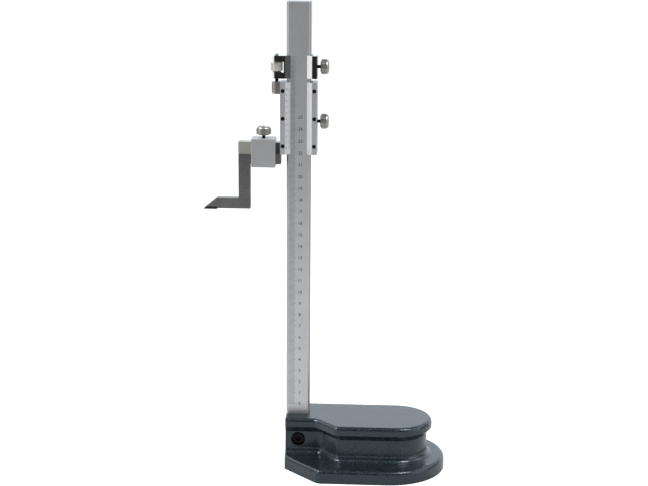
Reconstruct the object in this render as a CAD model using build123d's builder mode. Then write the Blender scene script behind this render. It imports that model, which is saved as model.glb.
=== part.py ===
"""Vernier height gauge with a 300 mm scale, built piece by piece in millimetres.

+Z is up.  The origin is on the ground face of the base, straight under the middle of the
scale face.  +X runs along the base towards its round end, the scriber points to -X, and the
scale face looks to -Y.
"""
import os
from math import hypot

from build123d import *

os.makedirs("parts", exist_ok=True)

# ------------------------------------------------------------------ driving sizes, mm
# Column: a flat hardened bar that carries the scale on its front face, at Y = 0
column_width = 20.0
column_thickness = 8.0
column_top = 398.0
column_front_bevel = 1.5
column_back_bevel = 0.8
column_top_bevel = 0.5

# Base casting: a wide foot, a waist to grip it by and a cap, all flat on the column's end
base_left = -10.0
base_middle_y = -1.0
base_height = 43.6
foot_thickness = 11.5
foot_half_width = 49.0
foot_end_centre = 77.7
foot_nose_y = -18.6
foot_slope_end = 19.8
waist_inset = 4.2
waist_nose_y = -10.0
waist_slope = (20.2, 36.0)
cap_thickness = 7.2
cap_half_width = 31.2
cap_end_centre = 84.6
cap_nose_y = -13.4
cap_slope = (16.0, 34.0)
corner_radius = 7.0
waist_foot_radius = 5.5
foot_rim_radius = 3.4
cap_rim_radius = 3.3
cap_cove_reach = 3.2
cap_cove_drop = 5.2
relief_radius = 36.0
relief_start = 30.0
relief_depth = 1.5

# Slot for the column's foot, and the socket screw that draws the column into it
slot_floor = 10.0
slot_end_gap = 0.2
bolt_x = 1.0
bolt_z = 24.3
bolt_diameter = 6.0
bolt_length = 20.0
bolt_head_diameter = 10.0
bolt_head_height = 6.0
bolt_head_bevel = 0.6
bolt_hex = 5.0
bolt_hex_depth = 3.0
bolt_hole_depth = 28.0
counterbore_diameter = 12.4
counterbore_depth = 7.5

# Height of the measuring face over the ground face, and of the slider over the measuring face
reading = 224.5
slider_over_face = 47.5

# Slider: a channel round the column, closed in front by two bevelled plates
slider_half_width = 15.2
slider_height = 60.0
slider_back = 13.0
slider_back_bevel = 1.0
plate_thickness = 3.6
plate_flat = 4.15
window_half_width = 6.8
feather_edge = 0.3
running_play = 0.05
gib_thickness = 1.2
gib_width = 5.6
gib_end_gap = 1.0
plate_screw_x = 13.0
plate_screw_pitch = 23.0
plate_screw_diameter = 2.0
plate_screw_length = 6.0
plate_screw_head_diameter = 3.3
plate_screw_head_height = 1.6
plate_screw_sunk = 0.1
plate_screw_slot = (0.5, 0.6)
gib_screw_diameter = 2.5
gib_screw_spacing = 30.0
gib_screw_sunk = 0.2

# Jaw bar of the slider, and the lug that holds the foot of the adjusting screw
bar_front = -2.4
bar_thickness = 8.0
bar_height = 10.0
bar_end = -50.0
lug_radius = 4.1
lug_height = 10.0
lug_lower_bevel = 0.9
lug_lock_drop = 5.0

# Fine adjustment: a carriage, a screw fixed in the slider and a knurled nut between them
adjuster_x = -18.4
adjuster_y = 3.0
adjuster_diameter = 3.0
adjuster_hole_play = 0.15
adjuster_show = 1.0
carriage_gap = 3.2
carriage_height = 18.8
carriage_left = -21.6
carriage_left_bevel = 1.6
nut_diameter = 10.0
nut_height = 8.1
nut_bevel = 0.9
nut_flutes = 26
nut_slot_height = 8.7
nut_slot_wall = -12.2

# Thumb screws: a black steel stud pressed into a straight-knurled nickel head
stud_diameter = 3.0
stud_show = 2.6
stud_in_knob = 4.0
stud_rise = 27.3
knob_diameter = 12.5
knob_length = 6.8
knob_band = (0.9, 4.9)
knob_rim_diameter = 8.8
knob_dish_depth = 0.9
knob_dish_diameter = 7.0
knob_boss_diameter = 3.4
knob_collar_diameter = 9.4
knob_flutes = 28
flute_depth = 0.35
flute_relief = 0.4

# Scriber clamp: a square sleeve round the jaw bar and the scriber's shank
sleeve_left = -39.1
sleeve_width = 20.0
sleeve_wall = 2.9
sleeve_floor = 2.4
sleeve_roof = 3.2
sleeve_bevel = 0.4
sleeve_play = 0.04

# Scriber: a cranked bar with a carbide strip brazed under its toe
scriber_right = -14.6
shank_height = 8.4
leg_width = 9.7
toe_height = 8.8
toe_bevel_x = -68.3
tip_x = -79.5
tip_land = 0.3
crank_radius = 0.8
carbide_length = 11.3
carbide_thickness = 2.2
carbide_proud = 0.8

# ------------------------------------------------------------------ places worked out
column_half = column_width / 2
column_middle_y = column_thickness / 2
channel_left = -column_half - running_play
channel_right = column_half + gib_thickness + 3 * running_play
channel_width = channel_right - channel_left
channel_middle_x = (channel_left + channel_right) / 2
channel_depth = column_thickness + 2 * running_play
plate_back = -running_play
plate_front = plate_back - plate_thickness
plate_edge = slider_half_width - plate_flat
slider_bottom = reading + slider_over_face
slider_top = slider_bottom + slider_height
slider_middle = slider_bottom + slider_height / 2
slider_stud_z = slider_bottom + stud_rise
carriage_bottom = slider_top + carriage_gap
carriage_top = carriage_bottom + carriage_height
carriage_middle = carriage_bottom + carriage_height / 2
gib_left = column_half + running_play
gib_right = gib_left + gib_thickness
lug_bottom = slider_top - lug_height
bar_back = bar_front + bar_thickness
bar_middle_y = bar_front + bar_thickness / 2
bar_top = slider_bottom + bar_height
shank_top = slider_bottom - sleeve_play
shank_bottom = shank_top - shank_height
knob_x = slider_half_width + stud_show
sleeve_middle_x = sleeve_left + sleeve_width / 2
plate_screw_heights = [slider_middle + step * plate_screw_pitch for step in (-1, 0, 1)]
gib_screw_heights = [slider_stud_z + side * gib_screw_spacing / 2 for side in (-1, 1)]


def finish(builder, name):
    """Label a piece and write its STEP file."""
    builder.part.label = name
    export_step(builder.part, f"parts/{name}.step")


# ------------------------------------------------------------------ base casting
def tier_plan(half_width, end_centre, front_corners):
    """Outline of one tier of the base: straight back, round end, corner cut off in front."""
    front_y = base_middle_y - half_width
    back_y = base_middle_y + half_width
    with BuildSketch() as plan:
        with BuildLine():
            FilletPolyline((end_centre, front_y), *front_corners, radius=corner_radius)
            Polyline(front_corners[-1], (base_left, back_y), (end_centre, back_y))
            ThreePointArc(
                (end_centre, back_y),
                (end_centre + half_width, base_middle_y),
                (end_centre, front_y),
            )
        make_face()
    return plan.sketch


def rim(builder, plan, level):
    """Edges at one level that follow a tier's outline, leaving out the base's flat end."""
    outline = (Pos(0, 0, level) * plan).wires()[0]
    return [
        edge
        for edge in builder.edges()
        if edge.center().X > base_left + running_play
        and outline.distance_to(edge.position_at(0.5)) < running_play
    ]


waist_half_width = cap_half_width - waist_inset
cap_floor = base_height - cap_thickness
foot = tier_plan(
    foot_half_width,
    foot_end_centre,
    [(foot_slope_end, base_middle_y - foot_half_width), (base_left, foot_nose_y)],
)
waist = tier_plan(
    waist_half_width,
    cap_end_centre,
    [
        (waist_slope[1], base_middle_y - waist_half_width),
        (waist_slope[0], waist_nose_y),
        (base_left, waist_nose_y),
    ],
)
cap = tier_plan(
    cap_half_width,
    cap_end_centre,
    [
        (cap_slope[1], base_middle_y - cap_half_width),
        (cap_slope[0], cap_nose_y),
        (base_left, cap_nose_y),
    ],
)
slot_right = column_half + slot_end_gap
bolt_seat_y = waist_nose_y + counterbore_depth
bolt_mouth = Plane((bolt_x, waist_nose_y, bolt_z), x_dir=(1, 0, 0), z_dir=(0, -1, 0))
bolt_seat = Plane((bolt_x, bolt_seat_y, bolt_z), x_dir=(1, 0, 0), z_dir=(0, -1, 0))

with BuildPart() as base_casting:
    with BuildSketch(Plane.XY):
        add(foot)
    extrude(amount=foot_thickness)
    fillet(rim(base_casting, foot, foot_thickness), foot_rim_radius)
    with BuildSketch(Plane.XY.offset(foot_thickness)):
        add(waist)
    extrude(amount=cap_floor - foot_thickness)
    fillet(rim(base_casting, waist, foot_thickness), waist_foot_radius)
    with BuildSketch(Plane.XY.offset(cap_floor)):
        add(cap)
    extrude(amount=cap_thickness)
    fillet(rim(base_casting, cap, base_height), cap_rim_radius)
    chamfer(
        rim(base_casting, waist, cap_floor),
        cap_cove_reach,
        cap_cove_drop,
        reference=base_casting.faces().filter_by(Plane.XY).group_by(Axis.Z)[-2][0],
    )
    # The underside is relieved, so that the gauge rides on a ground border
    with BuildSketch(Plane.XY):
        with Locations((foot_end_centre, base_middle_y)):
            Circle(relief_radius)
            Rectangle(
                foot_end_centre - relief_start,
                2 * relief_radius,
                align=(Align.MAX, Align.CENTER),
            )
    extrude(amount=relief_depth, mode=Mode.SUBTRACT)
    # Slot for the foot of the column, open at the flat end
    with BuildSketch(Plane.XY.offset(slot_floor)):
        with Locations((slot_right, column_middle_y)):
            Rectangle(
                slot_right - base_left,
                channel_depth,
                align=(Align.MAX, Align.CENTER),
            )
    extrude(amount=base_height - slot_floor, mode=Mode.SUBTRACT)
    with Locations(bolt_mouth):
        CounterBoreHole(
            radius=bolt_diameter / 2 + running_play,
            counter_bore_radius=counterbore_diameter / 2,
            counter_bore_depth=counterbore_depth,
            depth=bolt_hole_depth,
        )
finish(base_casting, "base_casting")

# ------------------------------------------------------------------ column and its screw
with BuildPart() as column:
    with BuildSketch(Plane.XY.offset(slot_floor)):
        with Locations((0, column_middle_y)):
            Rectangle(column_width, column_thickness)
    extrude(amount=column_top - slot_floor)
    corners = column.edges().filter_by(Axis.Z).group_by(Axis.Y)
    chamfer(corners[0], column_front_bevel)
    chamfer(corners[-1], column_back_bevel)
    chamfer(column.edges().group_by(Axis.Z)[-1], column_top_bevel)
    with Locations(bolt_mouth):
        Hole(radius=bolt_diameter / 2 + 4 * running_play)
finish(column, "column")

with BuildPart() as column_bolt:
    with BuildSketch(bolt_seat):
        Circle(bolt_head_diameter / 2)
    extrude(amount=bolt_head_height)
    chamfer(column_bolt.edges().group_by(Axis.Y)[0], bolt_head_bevel)
    with BuildSketch(bolt_seat.offset(bolt_head_height)):
        RegularPolygon(bolt_hex / 2, 6, major_radius=False)
    extrude(amount=-bolt_hex_depth, mode=Mode.SUBTRACT)
    with BuildSketch(bolt_seat):
        Circle(bolt_diameter / 2)
    extrude(amount=-bolt_length)
    chamfer(column_bolt.edges().group_by(Axis.Y)[-1], bolt_head_bevel)
finish(column_bolt, "column_bolt")


# ------------------------------------------------------------------ slider
def front_plane(x, y, z):
    """Plane at a point of a front face, looking to the front."""
    return Plane((x, y, z), x_dir=(1, 0, 0), z_dir=(0, -1, 0))


def right_plane(x, z):
    """Plane on the column's middle, looking to the right."""
    return Plane((x, column_middle_y, z), x_dir=(0, 1, 0), z_dir=(1, 0, 0))


wall_thickness = slider_half_width - channel_right
lug_axis = Plane((adjuster_x, adjuster_y, slider_top))
lock_seat = Plane(
    (adjuster_x - lug_radius, adjuster_y, slider_top - lug_lock_drop),
    x_dir=(0, 1, 0),
    z_dir=(-1, 0, 0),
)

with BuildPart() as lug:
    lug_front = adjuster_y - lug_radius
    lug_back = adjuster_y + lug_radius
    with BuildSketch(Plane.XY.offset(lug_bottom)):
        with BuildLine():
            Polyline(
                (adjuster_x, lug_front),
                (-slider_half_width, lug_front),
                (-slider_half_width, lug_back),
                (adjuster_x, lug_back),
            )
            ThreePointArc(
                (adjuster_x, lug_back),
                (adjuster_x - lug_radius, adjuster_y),
                (adjuster_x, lug_front),
            )
        make_face()
    extrude(amount=lug_height)
    lug_floor = lug.faces().sort_by(Axis.Z)[0]
    chamfer(lug_floor.edges().sort_by(Axis.X)[:-1], lug_lower_bevel)

with BuildPart() as slider_body:
    with BuildSketch(Plane.XY.offset(slider_bottom)):
        with Locations((0, plate_back)):
            Rectangle(
                2 * slider_half_width,
                slider_back - plate_back,
                align=(Align.CENTER, Align.MIN),
            )
        with Locations((channel_middle_x, plate_back)):
            Rectangle(
                channel_width,
                channel_depth,
                align=(Align.CENTER, Align.MIN),
                mode=Mode.SUBTRACT,
            )
    extrude(amount=slider_height)
    chamfer(slider_body.edges().filter_by(Axis.Z).group_by(Axis.Y)[-1], slider_back_bevel)
    # Jaw bar, flush with the underside of the slider
    with BuildSketch(Plane.YZ.offset(bar_end)):
        with Locations((bar_middle_y, slider_bottom)):
            Rectangle(bar_thickness, bar_height, align=(Align.CENTER, Align.MIN))
    extrude(amount=-slider_half_width - bar_end)
    add(lug.part)
    with Locations(lug_axis):
        Hole(radius=adjuster_diameter / 2 + running_play, depth=lug_height)
    with Locations(lock_seat):
        Hole(radius=gib_screw_diameter / 2 + running_play, depth=lug_radius)
    with Locations([
        front_plane(side * plate_screw_x, plate_back, height)
        for side in (-1, 1)
        for height in plate_screw_heights
    ]):
        Hole(radius=plate_screw_diameter / 2 + running_play, depth=plate_screw_length)
    with Locations(right_plane(slider_half_width, slider_stud_z)):
        Hole(radius=stud_diameter / 2 + running_play, depth=wall_thickness)
    with Locations([right_plane(slider_half_width, height) for height in gib_screw_heights]):
        Hole(radius=gib_screw_diameter / 2 + running_play, depth=wall_thickness)
finish(slider_body, "slider_body")


def bevelled_plate(side):
    """Front plate of one side: a flat land for its screws, then a bevel to a thin edge."""
    with BuildPart() as plate:
        with BuildSketch(Plane.XY.offset(slider_bottom)):
            with BuildLine():
                Polyline(
                    (side * slider_half_width, plate_back),
                    (side * slider_half_width, plate_front),
                    (side * plate_edge, plate_front),
                    (side * window_half_width, plate_back - feather_edge),
                    (side * window_half_width, plate_back),
                    close=True,
                )
            make_face()
        extrude(amount=slider_height)
        with Locations([
            front_plane(side * plate_screw_x, plate_front, height)
            for height in plate_screw_heights
        ]):
            CounterBoreHole(
                radius=plate_screw_diameter / 2 + running_play,
                counter_bore_radius=plate_screw_head_diameter / 2 + running_play,
                counter_bore_depth=plate_screw_head_height + plate_screw_sunk,
                depth=plate_thickness,
            )
    return plate


def plate_screws(side):
    """The three slotted screws of one plate."""
    with BuildPart() as screws:
        for height in plate_screw_heights:
            under_head = plate_front + plate_screw_head_height + plate_screw_sunk
            seat = front_plane(side * plate_screw_x, under_head, height)
            with BuildSketch(seat):
                Circle(plate_screw_head_diameter / 2)
            extrude(amount=plate_screw_head_height)
            with BuildSketch(seat.offset(plate_screw_head_height)):
                Rectangle(plate_screw_head_diameter, plate_screw_slot[0])
            extrude(amount=-plate_screw_slot[1], mode=Mode.SUBTRACT)
            with BuildSketch(seat):
                Circle(plate_screw_diameter / 2)
            extrude(amount=-plate_screw_length)
    return screws


finish(bevelled_plate(-1), "vernier_plate")
finish(bevelled_plate(1), "cover_plate")
finish(plate_screws(-1), "vernier_plate_screws")
finish(plate_screws(1), "cover_plate_screws")


def gib_strip(floor, height):
    """Bronze strip that takes up the play along the column's right edge."""
    with BuildPart() as gib:
        with BuildSketch(Plane.XY.offset(floor + gib_end_gap)):
            with Locations((gib_left, column_middle_y)):
                Rectangle(gib_thickness, gib_width, align=(Align.MIN, Align.CENTER))
        extrude(amount=height - 2 * gib_end_gap)
        chamfer(gib.edges().filter_by(Axis.Z), gib_thickness / 4)
    return gib


def grub_screw(seat, length):
    """Slotted grub screw that starts at its seat and runs into the metal."""
    with BuildPart() as screw:
        with BuildSketch(seat):
            Circle(gib_screw_diameter / 2)
        extrude(amount=-length)
        with BuildSketch(seat):
            Rectangle(gib_screw_diameter, plate_screw_slot[0])
        extrude(amount=-plate_screw_slot[1], mode=Mode.SUBTRACT)
    return screw


gib_screw_length = slider_half_width - gib_screw_sunk - gib_right
with BuildPart() as slider_gib_screws:
    for height in gib_screw_heights:
        seat = right_plane(slider_half_width - gib_screw_sunk, height)
        add(grub_screw(seat, gib_screw_length).part)

finish(gib_strip(slider_bottom, slider_height), "slider_gib")
finish(slider_gib_screws, "slider_gib_screws")


# ------------------------------------------------------------------ thumb screws
def knob_head(seat):
    """Knurled head: a collar, a fluted band and a domed end with a dish and a centre boss.

    The collar and the dome are turned down to the floor of the flutes where they meet the band.
    """
    section = Plane(seat.origin, x_dir=seat.x_dir, z_dir=-seat.y_dir)
    band_start, band_end = knob_band
    bore_radius = stud_diameter / 2
    band_radius = knob_diameter / 2
    turned_radius = band_radius - flute_relief
    with BuildPart() as knob:
        with BuildSketch(section):
            with BuildLine():
                Polyline(
                    (knob_boss_diameter / 2, knob_length - knob_dish_depth),
                    (knob_boss_diameter / 2, knob_length - knob_dish_depth / 3),
                    (0, knob_length - knob_dish_depth / 3),
                    (0, stud_in_knob),
                    (bore_radius, stud_in_knob),
                    (bore_radius, 0),
                    (knob_collar_diameter / 2, 0),
                    (turned_radius, band_start),
                    (band_radius, band_start),
                    (band_radius, band_end),
                    (turned_radius, band_end),
                )
                TangentArc(
                    (turned_radius, band_end),
                    (knob_rim_diameter / 2, knob_length),
                    tangent=(0, 1),
                )
                Polyline(
                    (knob_rim_diameter / 2, knob_length),
                    (knob_dish_diameter / 2, knob_length - knob_dish_depth),
                    (knob_boss_diameter / 2, knob_length - knob_dish_depth),
                )
            make_face()
        revolve(axis=Axis(seat.origin, seat.z_dir))
        with BuildSketch(seat):
            with PolarLocations(band_radius, knob_flutes):
                RegularPolygon(flute_depth, 4)
        extrude(amount=band_end, mode=Mode.SUBTRACT)
    return knob


def stud(seat, reach):
    """Threaded stud: from its point, inside the body, to its end in the knob."""
    with BuildPart() as rod:
        with BuildSketch(seat.offset(-reach)):
            Circle(stud_diameter / 2)
        extrude(amount=reach + stud_in_knob)
        chamfer(rod.edges().filter_by(GeomType.CIRCLE), stud_diameter / 10)
    return rod


slider_knob_seat = right_plane(knob_x, slider_stud_z)
carriage_knob_seat = right_plane(knob_x, carriage_middle)
sleeve_knob_seat = Plane((sleeve_middle_x, bar_middle_y, bar_top + sleeve_roof + stud_show))
side_stud_reach = knob_x - gib_right - running_play / 2
sleeve_stud_reach = sleeve_roof + stud_show - running_play / 2

finish(stud(slider_knob_seat, side_stud_reach), "slider_clamp_stud")
finish(knob_head(slider_knob_seat), "slider_clamp_knob")
finish(stud(carriage_knob_seat, side_stud_reach), "carriage_clamp_stud")
finish(knob_head(carriage_knob_seat), "carriage_clamp_knob")
finish(stud(sleeve_knob_seat, sleeve_stud_reach), "scriber_clamp_stud")
finish(knob_head(sleeve_knob_seat), "scriber_clamp_knob")

# ------------------------------------------------------------------ fine adjustment
adjuster_axis = Plane((adjuster_x, adjuster_y, carriage_top))

with BuildPart() as carriage_body:
    with BuildSketch(Plane.XY.offset(carriage_bottom)):
        with Locations((carriage_left, plate_front)):
            Rectangle(
                slider_half_width - carriage_left,
                slider_back - plate_front,
                align=(Align.MIN, Align.MIN),
            )
        with Locations((channel_middle_x, plate_back)):
            Rectangle(
                channel_width,
                channel_depth,
                align=(Align.CENTER, Align.MIN),
                mode=Mode.SUBTRACT,
            )
        with BuildLine():
            Polyline(
                (-plate_edge, plate_front),
                (-window_half_width, plate_back - feather_edge),
                (-window_half_width, plate_back),
                (window_half_width, plate_back),
                (window_half_width, plate_back - feather_edge),
                (plate_edge, plate_front),
                close=True,
            )
        make_face(mode=Mode.SUBTRACT)
    extrude(amount=carriage_height)
    upright = carriage_body.edges().filter_by(Axis.Z)
    chamfer(upright.group_by(Axis.Y)[-1], slider_back_bevel)
    chamfer(upright.group_by(Axis.Y)[0].sort_by(Axis.X)[0], carriage_left_bevel)
    # Slot that traps the nut, open at the left, in front and behind
    with BuildSketch(Plane.XZ.offset(-slider_back)):
        with Locations((carriage_left, carriage_middle)):
            Rectangle(
                nut_slot_wall - carriage_left,
                nut_slot_height,
                align=(Align.MIN, Align.CENTER),
            )
    extrude(amount=slider_back - plate_front, mode=Mode.SUBTRACT)
    with Locations(adjuster_axis):
        Hole(radius=adjuster_diameter / 2 + adjuster_hole_play)
    with Locations(right_plane(slider_half_width, carriage_middle)):
        Hole(radius=stud_diameter / 2 + running_play, depth=wall_thickness)
finish(carriage_body, "carriage_body")
finish(gib_strip(carriage_bottom, carriage_height), "carriage_gib")

with BuildPart() as adjusting_screw:
    with BuildSketch(lug_axis.offset(-lug_height)):
        Circle(adjuster_diameter / 2)
    extrude(amount=carriage_top + adjuster_show - lug_bottom)
    chamfer(adjusting_screw.edges().filter_by(GeomType.CIRCLE), stud_diameter / 10)
finish(adjusting_screw, "adjusting_screw")

lock_length = lug_radius - adjuster_diameter / 2 - running_play
finish(grub_screw(lock_seat, lock_length), "adjusting_screw_lock")

with BuildPart() as adjusting_nut:
    nut_middle = adjuster_axis.offset(carriage_middle - carriage_top)
    nut_band = nut_height / 2 - nut_bevel
    with BuildSketch(nut_middle.offset(-nut_height / 2)):
        Circle(nut_diameter / 2 - flute_relief)
    extrude(amount=nut_height)
    chamfer(adjusting_nut.edges().filter_by(GeomType.CIRCLE), nut_bevel)
    with BuildSketch(nut_middle.offset(-nut_band)):
        Circle(nut_diameter / 2)
        with PolarLocations(nut_diameter / 2, nut_flutes):
            RegularPolygon(flute_depth, 4, mode=Mode.SUBTRACT)
    extrude(amount=2 * nut_band)
    with Locations(adjuster_axis):
        Hole(radius=adjuster_diameter / 2 + running_play)
finish(adjusting_nut, "adjusting_nut")

# ------------------------------------------------------------------ scriber and its clamp
with BuildPart() as scriber_clamp:
    sleeve_bottom = shank_bottom - sleeve_floor
    with BuildSketch(Plane.YZ.offset(sleeve_left)):
        with Locations((bar_middle_y, sleeve_bottom)):
            Rectangle(
                bar_thickness + 2 * sleeve_wall,
                bar_top + sleeve_roof - sleeve_bottom,
                align=(Align.CENTER, Align.MIN),
            )
    extrude(amount=sleeve_width)
    chamfer(scriber_clamp.edges(), sleeve_bevel)
    with BuildSketch(Plane.YZ.offset(sleeve_left)):
        with Locations((bar_middle_y, shank_bottom - sleeve_play)):
            Rectangle(
                bar_thickness + 2 * sleeve_play,
                bar_top - shank_bottom + 2 * sleeve_play,
                align=(Align.CENTER, Align.MIN),
            )
    extrude(amount=sleeve_width, mode=Mode.SUBTRACT)
    with Locations(sleeve_knob_seat.offset(-stud_show)):
        Hole(radius=stud_diameter / 2 + running_play, depth=sleeve_roof)
finish(scriber_clamp, "scriber_clamp")

toe_bottom = reading + carbide_proud
toe_top = toe_bottom + toe_height
carbide_top = reading + carbide_thickness
carbide_right = tip_x + carbide_length
bevel_run = (toe_bevel_x - tip_x) / (toe_top - reading - tip_land)
notch_x = toe_bevel_x - bevel_run * (toe_top - carbide_top)
leg_right = bar_end + leg_width

with BuildPart() as scriber:
    with BuildSketch(Plane.XZ.offset(-bar_back)):
        with BuildLine():
            Polyline(
                (scriber_right, shank_bottom),
                (scriber_right, shank_top),
                (bar_end, shank_top),
                (bar_end, toe_top),
                (toe_bevel_x, toe_top),
                (notch_x, carbide_top),
                (carbide_right, carbide_top),
                (carbide_right, toe_bottom),
                (leg_right, toe_bottom),
                (leg_right, shank_bottom),
                close=True,
            )
        make_face()
    extrude(amount=bar_thickness)
    inner_corners = [
        edge
        for edge in scriber.edges().filter_by(Axis.Y)
        if hypot(edge.center().X - bar_end, edge.center().Z - toe_top) < running_play
        or hypot(edge.center().X - leg_right, edge.center().Z - shank_bottom) < running_play
    ]
    fillet(inner_corners, crank_radius)
finish(scriber, "scriber")

with BuildPart() as carbide_tip:
    with BuildSketch(Plane.XZ.offset(-bar_back)):
        with BuildLine():
            Polyline(
                (tip_x, reading),
                (carbide_right, reading),
                (carbide_right, carbide_top),
                (notch_x, carbide_top),
                (tip_x, reading + tip_land),
                close=True,
            )
        make_face()
    extrude(amount=bar_thickness)
finish(carbide_tip, "carbide_tip")
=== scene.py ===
"""Looks of a vernier height gauge: its finishes, scale marks, screw threads and a plain studio."""

import math

import bpy
from mathutils import Matrix, Vector


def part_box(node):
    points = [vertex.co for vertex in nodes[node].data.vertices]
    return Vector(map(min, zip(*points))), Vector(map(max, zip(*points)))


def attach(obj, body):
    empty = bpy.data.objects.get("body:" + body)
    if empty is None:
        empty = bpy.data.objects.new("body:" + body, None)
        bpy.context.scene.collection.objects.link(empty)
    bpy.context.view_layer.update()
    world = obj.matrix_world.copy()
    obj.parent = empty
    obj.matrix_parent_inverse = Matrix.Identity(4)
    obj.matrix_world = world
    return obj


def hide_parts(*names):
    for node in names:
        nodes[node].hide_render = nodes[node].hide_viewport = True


MM = 0.001
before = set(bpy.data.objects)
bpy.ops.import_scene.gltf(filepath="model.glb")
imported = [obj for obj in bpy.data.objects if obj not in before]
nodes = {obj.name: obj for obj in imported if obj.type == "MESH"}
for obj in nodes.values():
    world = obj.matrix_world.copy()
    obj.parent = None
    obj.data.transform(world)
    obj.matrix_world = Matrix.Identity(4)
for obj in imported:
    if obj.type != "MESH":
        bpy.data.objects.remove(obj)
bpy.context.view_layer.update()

# ------------------------------------------------------------------ sizes, taken from the frame
column_low, column_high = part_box("column")
plate_low, plate_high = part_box("vernier_plate")
sleeve_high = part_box("scriber_clamp")[1]
carriage_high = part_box("carriage_body")[1]
slider_bottom, slider_top = plate_low.z, plate_high.z

# What stands out at the slider's left: the lug above and the jaw bar below, each 10 mm high
arm_start = -15.25 * MM
arm_height = 10.05 * MM
lug_low = slider_top - arm_height
bar_top = slider_bottom + arm_height

# Main scale: it reads to 250 mm, and its lines go on far enough for the whole vernier to meet them
scale_zero = 52.8 * MM
scale_marks = 300
numbers_to = 25
mark_start_x = -8.3 * MM
mark_lengths = {1: 5.3 * MM, 5: 6.0 * MM, 10: 6.7 * MM}
mark_width = 0.22 * MM
mark_proud = 0.012 * MM
mark_sunk = 0.03 * MM
number_x = 1.4 * MM
number_height = 2.6 * MM
digit_share = 0.7
digit_swell = 0.025

# Vernier: fifty divisions over forty-nine millimetres, on the bevel of the left plate
vernier_zero = slider_bottom + 5.3 * MM
vernier_division = 0.98 * MM
vernier_marks = 50
vernier_lengths = {1: 1.5 * MM, 5: 2.0 * MM, 10: 2.4 * MM}
vernier_width = 0.16 * MM
vernier_number_height = 1.5 * MM
vernier_number_start = 1.4 * MM
vernier_edge_gap = 0.05 * MM
plate_flat = 4.15 * MM
feather_edge = 0.3 * MM
bevel_start = Vector((plate_low.x + plate_flat, plate_low.y, 0))
bevel_end = Vector((plate_high.x, plate_high.y - feather_edge, 0))
bevel_length = (bevel_end - bevel_start).length
bevel_angle = math.atan2(bevel_end.y - bevel_start.y, bevel_end.x - bevel_start.x)

# Screw threads: metric coarse, as deep as they look
stud_pitch = 0.5 * MM
thread_depth = 0.28 * MM
thread_sides = 28


# ------------------------------------------------------------------ small tools
def only(*objects):
    """Select these objects alone and make the first one active."""
    bpy.ops.object.select_all(action="DESELECT")
    for item in objects:
        item.select_set(True)
    bpy.context.view_layer.objects.active = objects[0]


def settle(item):
    """Put an object's place, turn and size into its mesh."""
    only(item)
    bpy.ops.object.transform_apply(location=True, rotation=True, scale=True)
    return item


def joined(name, parts):
    """Join finished parts into one named piece."""
    only(*parts)
    bpy.ops.object.join()
    piece = bpy.context.view_layer.objects.active
    piece.name = name
    piece.data.name = name
    return piece


def copies(master, places):
    """Copies of one modelled part, each with its own mesh, moved by its matrix."""
    made = []
    for place in places:
        copy = master.copy()
        copy.data = master.data.copy()
        copy.data.transform(place)
        bpy.context.scene.collection.objects.link(copy)
        made.append(copy)
    bpy.data.objects.remove(master)
    return made


# ------------------------------------------------------------------ scale marks
def filled_line(length, width):
    """One engraved line: a thin bar sunk in the face, with its paint dished in the middle."""
    bpy.ops.object.select_all(action="DESELECT")
    depth = mark_proud + mark_sunk
    bpy.ops.mesh.primitive_cube_add(
        size=1, location=(length / 2, (mark_sunk - mark_proud) / 2, 0), scale=(length, depth, width)
    )
    bar = settle(bpy.context.view_layer.objects.active)
    bpy.ops.object.mode_set(mode="EDIT")
    bpy.ops.mesh.select_mode(type="FACE")
    bpy.ops.mesh.select_all(action="DESELECT")
    bpy.ops.object.mode_set(mode="OBJECT")
    for face in bar.data.polygons:
        face.select = face.normal.y < -0.9
    bpy.ops.object.mode_set(mode="EDIT")
    bpy.ops.mesh.inset(thickness=width / 5, depth=-mark_proud / 3)
    bpy.ops.object.mode_set(mode="OBJECT")
    return bar


def mark_kind(step):
    """Every tenth line is the longest and every fifth the next."""
    return 10 if step % 10 == 0 else 5 if step % 5 == 0 else 1


def line_set(name, count, spacing, lengths, width, frame_of_scale):
    """All lines of one scale, made from one modelled line for each length."""
    parts = []
    for kind, length in lengths.items():
        steps = [step for step in range(count + 1) if mark_kind(step) == kind]
        places = [frame_of_scale @ Matrix.Translation((0, 0, step * spacing)) for step in steps]
        parts += copies(filled_line(length, width), places)
    return joined(name, parts)


def number(text, height, place):
    """A painted number as a thin solid, upright on the face that its frame gives."""
    bpy.ops.object.select_all(action="DESELECT")
    bpy.ops.object.text_add()
    label = bpy.context.view_layer.objects.active
    label.data.body = text
    label.data.size = height / digit_share
    label.data.align_x = "CENTER"
    label.data.align_y = "CENTER"
    label.data.extrude = mark_proud
    label.data.offset = digit_swell * height
    label.data.resolution_u = 3
    only(label)
    bpy.ops.object.convert(target="MESH")
    label = bpy.context.view_layer.objects.active
    label.data.transform(place @ Matrix.Rotation(math.pi / 2, 4, "X"))
    return label


def main_scale():
    """Millimetre lines on the column, numbered in centimetres up to the end of the range."""
    zero = Matrix.Translation((mark_start_x, column_low.y, scale_zero))
    lines = line_set("scale_lines", scale_marks, MM, mark_lengths, mark_width, zero)
    numbers = joined(
        "scale_numbers",
        [
            number(
                str(centimetre),
                number_height,
                Matrix.Translation((number_x, column_low.y, scale_zero + 10 * centimetre * MM)),
            )
            for centimetre in range(numbers_to + 1)
        ],
    )
    for piece in (lines, numbers):
        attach(piece, "base")
    return [lines, numbers]


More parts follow.
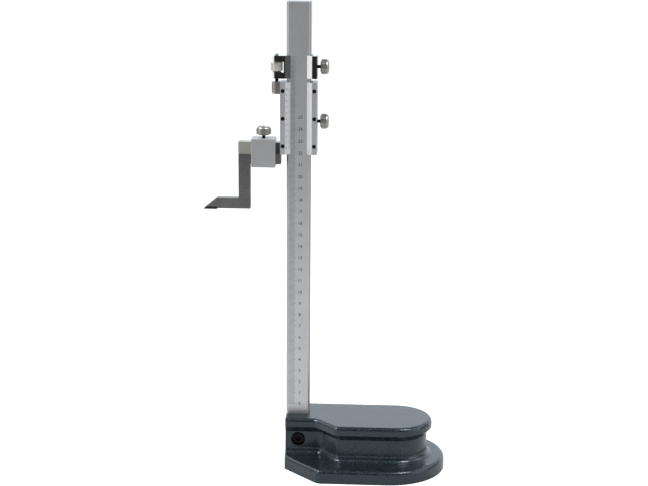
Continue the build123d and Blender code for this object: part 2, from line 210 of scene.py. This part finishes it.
def vernier_scale():
    """Vernier lines that reach the thin edge of the bevel, with a number at each fifth line."""
    turn = Matrix.Rotation(bevel_angle, 4, "Z")
    lift = Matrix.Translation((0, 0, vernier_zero))
    start = Matrix.Translation(bevel_start) @ turn
    parts = []
    for kind, length in vernier_lengths.items():
        steps = [step for step in range(vernier_marks + 1) if mark_kind(step) == kind]
        shift = Matrix.Translation((bevel_length - length - vernier_edge_gap, 0, 0))
        places = [
            start @ shift @ lift @ Matrix.Translation((0, 0, step * vernier_division))
            for step in steps
        ]
        parts += copies(filled_line(length, vernier_width), places)
    lines = joined("vernier_lines", parts)
    margin = Matrix.Translation((vernier_number_start, 0, 0))
    digit_frame = start @ margin
    numbers = joined(
        "vernier_numbers",
        [
            number(
                str(tenth),
                vernier_number_height,
                digit_frame @ lift @ Matrix.Translation((0, 0, 5 * tenth * vernier_division)),
            )
            for tenth in range(vernier_marks // 5 + 1)
        ],
    )
    for piece in (lines, numbers):
        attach(piece, "slider")
    return [lines, numbers]


# ------------------------------------------------------------------ screw threads
def threaded_rod(node, body, along):
    """A rod with the ridges of its thread, in the place of a plain rod, along one axis."""
    low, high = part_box(node)
    middle = (low + high) / 2
    length = (high - low)[along]
    across = (along + 1) % 3
    crest = (high - low)[across] / 2
    root = crest - thread_depth
    ridges = int(length / stud_pitch)
    bpy.ops.object.select_all(action="DESELECT")
    bpy.ops.mesh.primitive_circle_add(
        vertices=thread_sides, radius=root, fill_type="NGON", enter_editmode=True
    )
    bpy.ops.mesh.select_all(action="SELECT")
    half = length / ridges / 2
    for ridge in range(ridges):
        for grow in (crest / root, root / crest):
            bpy.ops.mesh.extrude_region_move(TRANSFORM_OT_translate={"value": (0, 0, half)})
            bpy.ops.transform.resize(value=(grow, grow, 1), center_override=(0, 0, 0))
    bpy.ops.mesh.select_all(action="SELECT")
    bpy.ops.mesh.normals_make_consistent(inside=False)
    bpy.ops.object.mode_set(mode="OBJECT")
    rod = bpy.context.view_layer.objects.active
    rod.name = node + "_threaded"
    turn = Matrix.Rotation(math.pi / 2, 4, "Y") if along == 0 else Matrix.Identity(4)
    start = middle.copy()
    start[along] = low[along]
    rod.data.transform(Matrix.Translation(start) @ turn)
    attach(rod, body)
    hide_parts(node)
    return rod


# ------------------------------------------------------------------ materials
def linear(hex_colour):
    """An sRGB colour such as '#3c4447' as linear RGBA."""
    parts = [int(hex_colour[i : i + 2], 16) / 255 for i in (1, 3, 5)]
    return (*[p / 12.92 if p <= 0.04045 else ((p + 0.055) / 1.055) ** 2.4 for p in parts], 1)


def add_node(tree, kind, inputs=None, **settings):
    """Add a node with its settings; inputs gives a value, or another node's output, by socket."""
    made = tree.nodes.new(kind)
    for name, value in settings.items():
        setattr(made, name, value)
    for key, value in (inputs or {}).items():
        if isinstance(value, bpy.types.NodeSocket):
            tree.links.new(value, made.inputs[key])
        else:
            made.inputs[key].default_value = value
    return made


def new_material(name):
    """An empty material with its tree, its shader and Object coordinates in millimetres."""
    material = bpy.data.materials.new(name)
    material.use_nodes = True
    tree = material.node_tree
    tree.nodes.clear()
    shader = add_node(tree, "ShaderNodeBsdfPrincipled")
    add_node(tree, "ShaderNodeOutputMaterial", {"Surface": shader.outputs[0]})
    place = add_node(tree, "ShaderNodeTexCoord")
    grid = add_node(
        tree,
        "ShaderNodeMapping",
        {"Vector": place.outputs["Object"], "Scale": (1 / MM,) * 3},
    )
    return material, tree, shader, grid.outputs[0]


def hammertone_enamel():
    """Hammertone enamel stoved on cast iron: a glossy skin drawn into shallow dimples.

    The dimples are 1 to 2 mm across, and the aluminium flake gathers pale between them.
    """
    material, tree, shader, mm = new_material("hammertone_enamel")
    dimple = 1.5
    wander = add_node(tree, "ShaderNodeTexNoise", {"Vector": mm, "Scale": 0.5, "Detail": 2.0})
    shifted = add_node(
        tree,
        "ShaderNodeMix",
        {"Factor": 0.3, 4: mm, 5: wander.outputs["Color"]},
        data_type="VECTOR",
    )
    cells = add_node(
        tree,
        "ShaderNodeTexVoronoi",
        {"Vector": shifted.outputs[1], "Scale": 1 / dimple, "Smoothness": 0.5},
        feature="SMOOTH_F1",
    )
    speckle = add_node(
        tree, "ShaderNodeTexNoise", {"Vector": mm, "Scale": 0.9, "Detail": 3.0, "Roughness": 0.6}
    )
    flake = add_node(
        tree,
        "ShaderNodeMapRange",
        {"Value": speckle.outputs["Fac"], "From Min": 0.44, "From Max": 0.7},
        interpolation_type="SMOOTHSTEP",
    )
    colour = add_node(
        tree,
        "ShaderNodeMix",
        {"Factor": flake.outputs[0], 6: linear("#12191c"), 7: linear("#2f393d")},
        data_type="RGBA",
    )
    height = add_node(
        tree,
        "ShaderNodeMath",
        {0: cells.outputs["Distance"], 1: speckle.outputs["Fac"]},
        operation="ADD",
    )
    bump = add_node(
        tree,
        "ShaderNodeBump",
        {"Height": height.outputs[0], "Strength": 0.5, "Distance": 0.25 * MM},
    )
    tree.links.new(colour.outputs[2], shader.inputs["Base Color"])
    tree.links.new(bump.outputs[0], shader.inputs["Normal"])
    shader.inputs["Roughness"].default_value = 0.25
    shader.inputs["Specular Tint"].default_value = linear("#b0cee6")
    shader.inputs["Specular IOR Level"].default_value = 0.6
    shader.inputs["Coat Weight"].default_value = 0.45
    shader.inputs["Coat Roughness"].default_value = 0.16
    return material


def arm_zone(tree, mm, start, low, high):
    """1 to the left of a start and between two heights, all three in metres, else 0."""
    axes = add_node(tree, "ShaderNodeSeparateXYZ", {0: mm})
    outside = add_node(
        tree, "ShaderNodeMath", {0: axes.outputs["X"], 1: start / MM}, operation="LESS_THAN"
    )
    between = add_node(
        tree,
        "ShaderNodeMath",
        {0: axes.outputs["Z"], 1: (low + high) / 2 / MM, 2: (high - low) / 2 / MM},
        operation="COMPARE",
    )
    both = add_node(
        tree,
        "ShaderNodeMath",
        {0: outside.outputs[0], 1: between.outputs[0]},
        operation="MULTIPLY",
    )
    return both.outputs[0]


def grained_metal(name, light, dark, roughness, grain, stretch, depth, zones=()):
    """A worked metal: its tone and gloss vary along a grain of the given size in millimetres.

    Each zone is what lies left of a start and between two heights. It has a light and a dark tone
    of its own, and a later zone covers an earlier one.
    """
    material, tree, shader, mm = new_material(name)
    lay = add_node(tree, "ShaderNodeMapping", {"Vector": mm, "Scale": stretch})
    fine = add_node(
        tree,
        "ShaderNodeTexNoise",
        {"Vector": lay.outputs[0], "Scale": 1 / grain, "Detail": 3.0, "Roughness": 0.6},
    )
    cloud = add_node(tree, "ShaderNodeTexNoise", {"Vector": mm, "Scale": 0.06, "Detail": 2.0})
    tone = add_node(
        tree,
        "ShaderNodeMix",
        {"Factor": 0.35, 2: fine.outputs["Fac"], 3: cloud.outputs["Fac"]},
    )
    spread = add_node(
        tree,
        "ShaderNodeMapRange",
        {"Value": tone.outputs[0], "From Min": 0.3, "From Max": 0.7},
    )
    colour = add_node(
        tree,
        "ShaderNodeMix",
        {"Factor": spread.outputs[0], 6: linear(dark), 7: linear(light)},
        data_type="RGBA",
    )
    for start, low, high, zone_light, zone_dark in zones:
        own = add_node(
            tree,
            "ShaderNodeMix",
            {"Factor": spread.outputs[0], 6: linear(zone_dark), 7: linear(zone_light)},
            data_type="RGBA",
        )
        mask = arm_zone(tree, mm, start, low, high)
        colour = add_node(
            tree,
            "ShaderNodeMix",
            {"Factor": mask, 6: colour.outputs[2], 7: own.outputs[2]},
            data_type="RGBA",
        )
    gloss = add_node(
        tree,
        "ShaderNodeMapRange",
        {
            "Value": fine.outputs["Fac"],
            "To Min": roughness * 0.85,
            "To Max": roughness * 1.15,
        },
    )
    bump = add_node(
        tree,
        "ShaderNodeBump",
        {"Height": fine.outputs["Fac"], "Strength": 0.3, "Distance": depth * MM},
    )
    tree.links.new(colour.outputs[2], shader.inputs["Base Color"])
    tree.links.new(gloss.outputs[0], shader.inputs["Roughness"])
    tree.links.new(bump.outputs[0], shader.inputs["Normal"])
    shader.inputs["Metallic"].default_value = 1.0
    return material


def satin_chrome():
    """Satin chrome plate on blasted steel: an even, dull silver with a grain too fine to see.

    The real grain is near 0.05 mm; it is drawn at 0.5 mm so that it shows.
    """
    return grained_metal("satin_chrome", "#d6d7d9", "#c9cacd", 0.42, 0.5, (1, 1, 1), 0.01)


def column_chrome():
    """Satin chrome on a bar that was ground along its length: faint long streaks.

    A darker line runs up both long edges: painted shade along the bevels.
    """
    edge = 0.9 * MM
    over_top = 2 * column_high.z
    zones = (
        # painted shade: the middle of the face is lighter and both long edges keep darker tones
        (column_high.x - edge, 0, over_top, "#d4d5d7", "#c3c4c7"),
        (column_low.x + edge, 0, over_top, "#aaabad", "#9c9da0"),
    )
    return grained_metal(
        "column_chrome", "#a4a5a7", "#96979a", 0.42, 0.5, (1, 1, 0.05), 0.01, zones
    )


def polished_chrome():
    """Bright chrome plate: mirror smooth, so its flats are as dark or light as what they face."""
    return grained_metal("polished_chrome", "#dcddda", "#d4d5d2", 0.07, 3.0, (1, 1, 1), 0.004)


def ground_steel():
    """Hardened tool steel, surface ground: dark grey with short strokes across the bar."""
    return grained_metal("ground_steel", "#8b8b8a", "#707070", 0.33, 0.45, (0.12, 1, 1), 0.014)


def slider_finish():
    """Satin chrome on the channel, a darker grey on its lug, a ground jaw bar below.

    The front of the bar is painted dark in the gap between the sleeve and the channel: painted
    shade from the sleeve beside it.
    """
    shade_top_margin = 0.3 * MM
    zones = (
        (arm_start, lug_low, slider_top, "#a5a2a0", "#807d7b"),
        # painted shade on the jaw bar's front, stopping 0.3 mm below its top; the next zone gives
        # the bar its own olive grey again left of the sleeve
        (arm_start, slider_bottom, bar_top - shade_top_margin, "#5a5a58", "#454543"),
        (sleeve_high.x, slider_bottom, bar_top, "#c6c7bf", "#b1b2aa"),
    )
    return grained_metal(
        "slider_finish", "#d6d7d9", "#c9cacd", 0.42, 0.5, (1, 1, 1), 0.01, zones
    )


def sleeve_chrome():
    """The same satin chrome on the square sleeve, painted a little darker as painted shade."""
    return grained_metal("sleeve_chrome", "#cacbcd", "#bebfc2", 0.44, 0.5, (1, 1, 1), 0.01)


def screw_steel():
    """Blackened steel of the adjusting screw, turned bright at its upper end."""
    zones = ((arm_start, carriage_high.z, column_high.z, "#cdcdca", "#b9b9b6"),)
    return grained_metal(
        "screw_steel", "#242423", "#141414", 0.42, 0.4, (1, 1, 1), 0.01, zones
    )


def turned_nickel():
    """Nickel plate on turned and straight-knurled brass: grey, with soft glints."""
    return grained_metal("turned_nickel", "#b8b6b3", "#9b9996", 0.36, 0.5, (1, 1, 1), 0.006)


def nut_nickel():
    """The nut's nickel, paler than that of the thumb screws: painted light, for the strong light on
    the nut.
    """
    return grained_metal("nut_nickel", "#e6e5de", "#d6d5ce", 0.5, 0.5, (1, 1, 1), 0.006)


def gib_bronze():
    """Phosphor bronze strip, drawn lengthwise."""
    return grained_metal("gib_bronze", "#b58a55", "#94703f", 0.34, 0.4, (1, 1, 0.1), 0.008)


def tungsten_carbide():
    """Lapped tungsten carbide: a dense, nearly black grey."""
    return grained_metal("tungsten_carbide", "#4a4a4c", "#38383a", 0.28, 0.5, (1, 1, 1), 0.004)


def black_oxide():
    """Black oxide on steel screws: a thin, dull, oily black."""
    material, tree, shader, mm = new_material("black_oxide")
    grain = add_node(tree, "ShaderNodeTexNoise", {"Vector": mm, "Scale": 1.6, "Detail": 3.0})
    colour = add_node(
        tree,
        "ShaderNodeMix",
        {"Factor": grain.outputs["Fac"], 6: linear("#040404"), 7: linear("#0f0e0d")},
        data_type="RGBA",
    )
    bump = add_node(
        tree,
        "ShaderNodeBump",
        {"Height": grain.outputs["Fac"], "Strength": 0.2, "Distance": 0.02 * MM},
    )
    tree.links.new(colour.outputs[2], shader.inputs["Base Color"])
    tree.links.new(bump.outputs[0], shader.inputs["Normal"])
    shader.inputs["Roughness"].default_value = 0.5
    shader.inputs["Specular IOR Level"].default_value = 0.2
    return material


def scale_paint():
    """Dark paint wiped into engraved lines: matt, a little uneven where it was wiped thin."""
    material, tree, shader, mm = new_material("scale_paint")
    wiped = add_node(tree, "ShaderNodeTexNoise", {"Vector": mm, "Scale": 1.1, "Detail": 3.0})
    colour = add_node(
        tree,
        "ShaderNodeMix",
        {"Factor": wiped.outputs["Fac"], 6: linear("#2b2b2c"), 7: linear("#565657")},
        data_type="RGBA",
    )
    tree.links.new(colour.outputs[2], shader.inputs["Base Color"])
    shader.inputs["Roughness"].default_value = 0.6
    return material


def dress(piece, material):
    """Give a piece one material in place of any it has."""
    piece.data.materials.clear()
    piece.data.materials.append(material)


enamel = hammertone_enamel()
satin = satin_chrome()
slider_chrome = slider_finish()
shaded_satin = sleeve_chrome()
screw_black = screw_steel()
bar_chrome = column_chrome()
mirror_chrome = polished_chrome()
tool_steel = ground_steel()
nickel = turned_nickel()
lit_pale_nickel = nut_nickel()
bronze = gib_bronze()
carbide = tungsten_carbide()
black = black_oxide()
paint = scale_paint()

finish_of = {
    "base_casting": enamel,
    "column": bar_chrome,
    "column_bolt": black,
    "slider_body": slider_chrome,
    "vernier_plate": satin,
    "cover_plate": satin,
    "vernier_plate_screws": black,
    "cover_plate_screws": black,
    "slider_gib": bronze,
    "slider_gib_screws": black,
    "adjusting_screw_lock": black,
    "slider_clamp_stud": black,
    "slider_clamp_knob": nickel,
    "carriage_body": mirror_chrome,
    "carriage_gib": bronze,
    "carriage_clamp_stud": black,
    "carriage_clamp_knob": nickel,
    "adjusting_screw": screw_black,
    # the nut's nickel is painted paler: painted light
    "adjusting_nut": lit_pale_nickel,
    # the sleeve gets the satin chrome painted darker: painted shade
    "scriber_clamp": shaded_satin,
    "scriber_clamp_stud": black,
    "scriber_clamp_knob": nickel,
    "scriber": tool_steel,
    "carbide_tip": carbide,
}
for node, material in finish_of.items():
    dress(nodes[node], material)

for piece in main_scale() + vernier_scale():
    dress(piece, paint)
for node, body, along in (
    ("slider_clamp_stud", "slider_clamp", 0),
    ("carriage_clamp_stud", "carriage_clamp", 0),
    ("scriber_clamp_stud", "sleeve_clamp", 2),
    ("adjusting_screw", "slider", 2),
):
    rod = threaded_rod(node, body, along)
    dress(rod, finish_of[node])


# ------------------------------------------------------------------ studio
def floor():
    """White table: it ends in front and at the right, where the dark room begins."""
    left, right, front, back = -0.9, 1.1, -0.95, 3.5
    seen_tone, cast_tone, seen_glow = 0.9, 0.6, 0.33
    bpy.ops.object.select_all(action="DESELECT")
    bpy.ops.mesh.primitive_plane_add(size=1, location=((left + right) / 2, (front + back) / 2, 0))
    table = bpy.context.view_layer.objects.active
    table.scale = (right - left, back - front, 1)
    settle(table)
    table.name = "table"
    material = bpy.data.materials.new("white_table")
    material.use_nodes = True
    tree = material.node_tree
    tree.nodes.clear()
    ray = add_node(tree, "ShaderNodeLightPath")
    matt = add_node(tree, "ShaderNodeBsdfDiffuse", {"Color": (*[cast_tone] * 3, 1)})
    white = add_node(tree, "ShaderNodeBsdfDiffuse", {"Color": (*[seen_tone] * 3, 1)})
    glow = add_node(tree, "ShaderNodeEmission", {"Color": (1, 1, 1, 1), "Strength": seen_glow})
    both = add_node(tree, "ShaderNodeAddShader", {0: white.outputs[0], 1: glow.outputs[0]})
    mix = add_node(
        tree,
        "ShaderNodeMixShader",
        {0: ray.outputs["Is Camera Ray"], 1: matt.outputs[0], 2: both.outputs[0]},
    )
    add_node(tree, "ShaderNodeOutputMaterial", {"Surface": mix.outputs[0]})
    dress(table, material)


def height_ramp(tree, rise, stops, tint=(1, 1, 1)):
    """A tone that follows the height of a ray, from (sine of its elevation, tone) pairs."""
    place = add_node(tree, "ShaderNodeMapRange", {"Value": rise, "From Min": -1.0, "From Max": 1.0})
    ramp = add_node(tree, "ShaderNodeValToRGB", {"Fac": place.outputs[0]})
    elements = ramp.color_ramp.elements
    while len(elements) < len(stops):
        elements.new(1.0)
    for element, (sine, tone) in zip(elements, stops):
        element.position = (sine + 1) / 2
        element.color = (tone * tint[0], tone * tint[1], tone * tint[2], 1)
    return ramp.outputs["Color"]


def window(tree, value, low, high, soft):
    """1 where a value lies between two limits and 0 outside, with soft edges."""
    factors = [
        add_node(
            tree,
            "ShaderNodeMapRange",
            {"Value": value, "From Min": outside, "From Max": inside},
            interpolation_type="SMOOTHSTEP",
        ).outputs[0]
        for outside, inside in ((low - soft, low + soft), (high + soft, high - soft))
    ]
    return add_node(
        tree, "ShaderNodeMath", {0: factors[0], 1: factors[1]}, operation="MULTIPLY"
    ).outputs[0]


def studio_world():
    """Even light; a mirror sees two white panels by the lens, a cool pale wall and a dark room."""
    front_tones = (
        (-1.0, 0.02), (-0.09, 0.02), (-0.04, 0.6), (0.14, 0.6), (0.22, 0.04),
        (0.68, 0.04), (0.76, 0.4),
    )
    wall_tones = ((-1.0, 0.9), (0.2, 1.15), (0.45, 1.05), (0.7, 0.7), (0.9, 0.2))
    wall_tint = (0.96, 1.05, 1.13)
    wall_start, wall_soft, patch_soft = -0.45, 0.2, 0.04
    room_end = 2.0
    even_grey = (0.75, 0.75, 0.75, 1)
    # Each patch of the room: limits of the ray's X, Y and Z, and its tone
    patches = (
        ((-2.0, -0.75), (-0.08, 0.6), (-1.0, 0.5), 0.4),
        ((0.75, 2.0), (-0.08, 0.6), (-1.0, 0.5), 0.45),
        ((-2.0, -0.6), (-0.6, -0.1), (-0.6, 0.5), 1.75),
        ((-2.0, -0.5), (-0.7, 0.3), (-0.19, -0.08), 1.15),
        ((0.6, 2.0), (-0.6, -0.1), (-0.03, 0.5), 1.9),
        ((0.5, 2.0), (-0.7, 0.3), (-0.19, -0.08), 0.1),
        ((-0.9, -0.55), (0.0, 0.45), (0.5, 0.8), 2.2),
        ((0.5, 0.9), (0.0, 0.45), (0.5, 0.8), 2.2),
    )
    world = bpy.data.worlds.new("studio")
    bpy.context.scene.world = world
    world.use_nodes = True
    tree = world.node_tree
    tree.nodes.clear()
    ray = add_node(tree, "ShaderNodeLightPath")
    way = add_node(tree, "ShaderNodeTexCoord")
    xyz = add_node(tree, "ShaderNodeSeparateXYZ", {0: way.outputs["Generated"]})
    room = add_node(
        tree,
        "ShaderNodeMix",
        {
            "Factor": window(tree, xyz.outputs["Y"], wall_start, room_end, wall_soft),
            6: height_ramp(tree, xyz.outputs["Z"], front_tones),
            7: height_ramp(tree, xyz.outputs["Z"], wall_tones, wall_tint),
        },
        data_type="RGBA",
    )
    for *limits, tone in patches:
        inside = 1.0
        for axis, (low, high) in zip("XYZ", limits):
            part = window(tree, xyz.outputs[axis], low, high, patch_soft)
            inside = add_node(
                tree, "ShaderNodeMath", {0: inside, 1: part}, operation="MULTIPLY"
            ).outputs[0]
        room = add_node(
            tree,
            "ShaderNodeMix",
            {"Factor": inside, 6: room.outputs[2], 7: (tone, tone, tone, 1)},
            data_type="RGBA",
        )
    sharp = add_node(
        tree,
        "ShaderNodeMath",
        {0: ray.outputs["Is Glossy Ray"], 1: ray.outputs["Is Transmission Ray"]},
        operation="ADD",
        use_clamp=True,
    )
    even = add_node(
        tree,
        "ShaderNodeMix",
        {"Factor": sharp.outputs[0], 6: even_grey, 7: room.outputs[2]},
        data_type="RGBA",
    )
    seen = add_node(
        tree,
        "ShaderNodeMix",
        {"Factor": ray.outputs["Is Camera Ray"], 6: even.outputs[2], 7: (1, 1, 1, 1)},
        data_type="RGBA",
    )
    sky = add_node(tree, "ShaderNodeBackground", {"Color": seen.outputs[2]})
    add_node(tree, "ShaderNodeOutputWorld", {"Surface": sky.outputs[0]})


def softbox(name, place, aim):
    """A soft square lamp of 0.45 m and 12 W at a place, turned to its aim."""
    lamp = bpy.data.lights.new(name, "AREA")
    lamp.shape = "SQUARE"
    lamp.size = 0.45
    lamp.energy = 12
    stand = bpy.data.objects.new(name, lamp)
    stand.location = place
    stand.rotation_mode = "QUATERNION"
    stand.rotation_quaternion = (Vector(aim) - Vector(place)).to_track_quat("-Z", "Y")
    bpy.context.scene.collection.objects.link(stand)


def camera():
    """Long lens in front of the gauge, looking down at it a little and to the left."""
    lens_mm, sensor_mm = 86.7, 36.0
    nearest, farthest = 0.05, 20.0
    place = Vector((85.5, -1273.3, 513.0)) * MM
    down, left, roll = math.radians(13.95), math.radians(2.87), math.radians(0.40)
    data = bpy.data.cameras.new("camera")
    data.lens = lens_mm
    data.sensor_width = sensor_mm
    data.clip_start, data.clip_end = nearest, farthest
    eye = bpy.data.objects.new("camera", data)
    turn = Matrix.Rotation(left, 4, "Z") @ Matrix.Rotation(math.pi / 2 - down, 4, "X")
    eye.matrix_world = Matrix.Translation(place) @ turn @ Matrix.Rotation(roll, 4, "Z")
    bpy.context.scene.collection.objects.link(eye)
    bpy.context.scene.camera = eye


floor()
studio_world()
softbox("left_softbox", (-0.78, -0.3, 1.4), (0, 0, 0.1))
softbox("right_softbox", (0.7, -0.5, 1.5), (0.05, 0, 0.1))
camera()
bpy.context.scene.view_settings.view_transform = "Standard"
